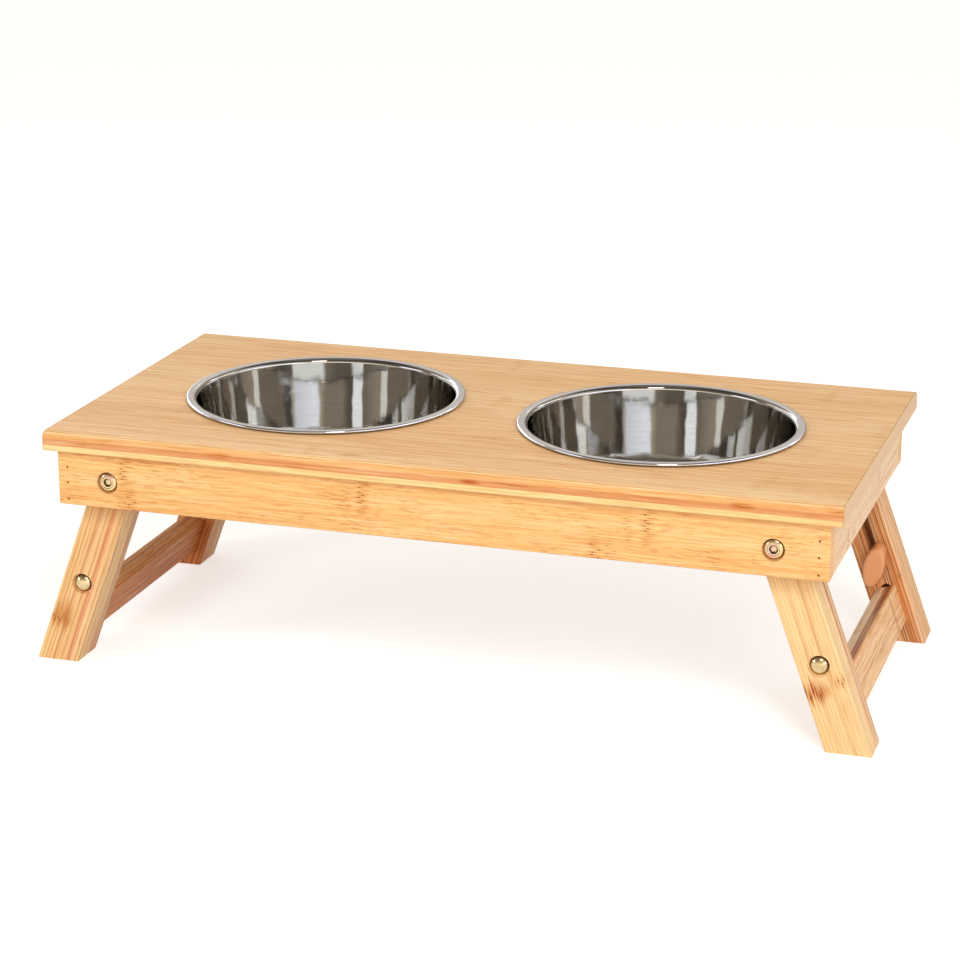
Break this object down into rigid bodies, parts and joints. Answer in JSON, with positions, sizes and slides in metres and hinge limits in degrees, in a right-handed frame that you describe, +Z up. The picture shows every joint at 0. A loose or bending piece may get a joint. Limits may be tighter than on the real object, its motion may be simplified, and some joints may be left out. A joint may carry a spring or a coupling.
{
  "type": "elevated double cat bowl",
  "caption": "Low bamboo stand that holds steel pet bowls in its board, on splayed legs that fold inwards and slide longer, locked by thumb knobs.",
  "frame": {"origin": "on the floor, under the middle of the stand", "axes": "+X along the board to the right, +Y to the back, +Z up"},
  "size_m": [0.4306, 0.206, 0.128],
  "materials": {
    "board_bamboo": "clear satin lacquer",
    "rail_bamboo": "clear satin lacquer",
    "leg_bamboo": "clear satin lacquer",
    "bowl_steel": "polished stainless steel with fine lines round it",
    "plated_steel": "yellow zinc plate",
    "nail_steel": "dull",
    "knob_plastic": "satin",
    "insert_brass": "as turned"
  },
  "bodies": {
    "stand": {"top_board": "board_bamboo", "front_rail": "rail_bamboo", "back_rail": "rail_bamboo", "left_end_rail": "rail_bamboo", "right_end_rail": "rail_bamboo", "rail_brads": "nail_steel", "pivot_bolts": "plated_steel", "pivot_sleeve_nuts": "plated_steel"},
    "left_legs": {"left_front_outer_leg": "leg_bamboo", "left_back_outer_leg": "leg_bamboo", "left_clamp_bolts": "plated_steel", "left_clamp_washers": "plated_steel"},
    "left_extension": {"left_front_inner_leg": "leg_bamboo", "left_back_inner_leg": "leg_bamboo", "left_crossbar": "leg_bamboo"},
    "right_legs": {"right_front_outer_leg": "leg_bamboo", "right_back_outer_leg": "leg_bamboo", "right_clamp_bolts": "plated_steel", "right_clamp_washers": "plated_steel"},
    "right_extension": {"right_front_inner_leg": "leg_bamboo", "right_back_inner_leg": "leg_bamboo", "right_crossbar": "leg_bamboo"},
    "left_front_knob": {"left_front_knob": "knob_plastic", "left_front_knob_insert": "insert_brass"},
    "left_back_knob": {"left_back_knob": "knob_plastic", "left_back_knob_insert": "insert_brass"},
    "right_front_knob": {"right_front_knob": "knob_plastic", "right_front_knob_insert": "insert_brass"},
    "right_back_knob": {"right_back_knob": "knob_plastic", "right_back_knob_insert": "insert_brass"},
    "left_bowl": {"left_bowl": "bowl_steel"},
    "right_bowl": {"right_bowl": "bowl_steel"}
  },
  "joints": [
    {"name": "left_legs_fold", "type": "hinge", "parent": "stand", "child": "left_legs", "pos_m": [-0.16725, 0, 0.1012], "axis": [0, -1, 0], "range_deg": [0, 75]},
    {"name": "left_legs_lengthen", "type": "slide", "parent": "left_legs", "child": "left_extension", "axis": [-0.342, 0, -0.9397], "range_m": [0, 0.035]},
    {"name": "right_legs_fold", "type": "hinge", "parent": "stand", "child": "right_legs", "pos_m": [0.16725, 0, 0.1012], "axis": [0, 1, 0], "range_deg": [0, 75]},
    {"name": "right_legs_lengthen", "type": "slide", "parent": "right_legs", "child": "right_extension", "axis": [0.342, 0, -0.9397], "range_m": [0, 0.035]},
    {"name": "left_front_knob_turn", "type": "hinge", "parent": "left_legs", "child": "left_front_knob", "pos_m": [-0.18856, -0.06, 0.04266], "axis": [0, -1, 0], "continuous": true},
    {"name": "left_back_knob_turn", "type": "hinge", "parent": "left_legs", "child": "left_back_knob", "pos_m": [-0.18856, 0.06, 0.04266], "axis": [0, 1, 0], "continuous": true},
    {"name": "right_front_knob_turn", "type": "hinge", "parent": "right_legs", "child": "right_front_knob", "pos_m": [0.18856, -0.06, 0.04266], "axis": [0, -1, 0], "continuous": true},
    {"name": "right_back_knob_turn", "type": "hinge", "parent": "right_legs", "child": "right_back_knob", "pos_m": [0.18856, 0.06, 0.04266], "axis": [0, 1, 0], "continuous": true},
    {"name": "left_bowl_lift", "type": "slide", "parent": "stand", "child": "left_bowl", "axis": [0, 0, 1], "range_m": [0, 0.08]},
    {"name": "right_bowl_lift", "type": "slide", "parent": "stand", "child": "right_bowl", "axis": [0, 0, 1], "range_m": [0, 0.08]}
  ]
}
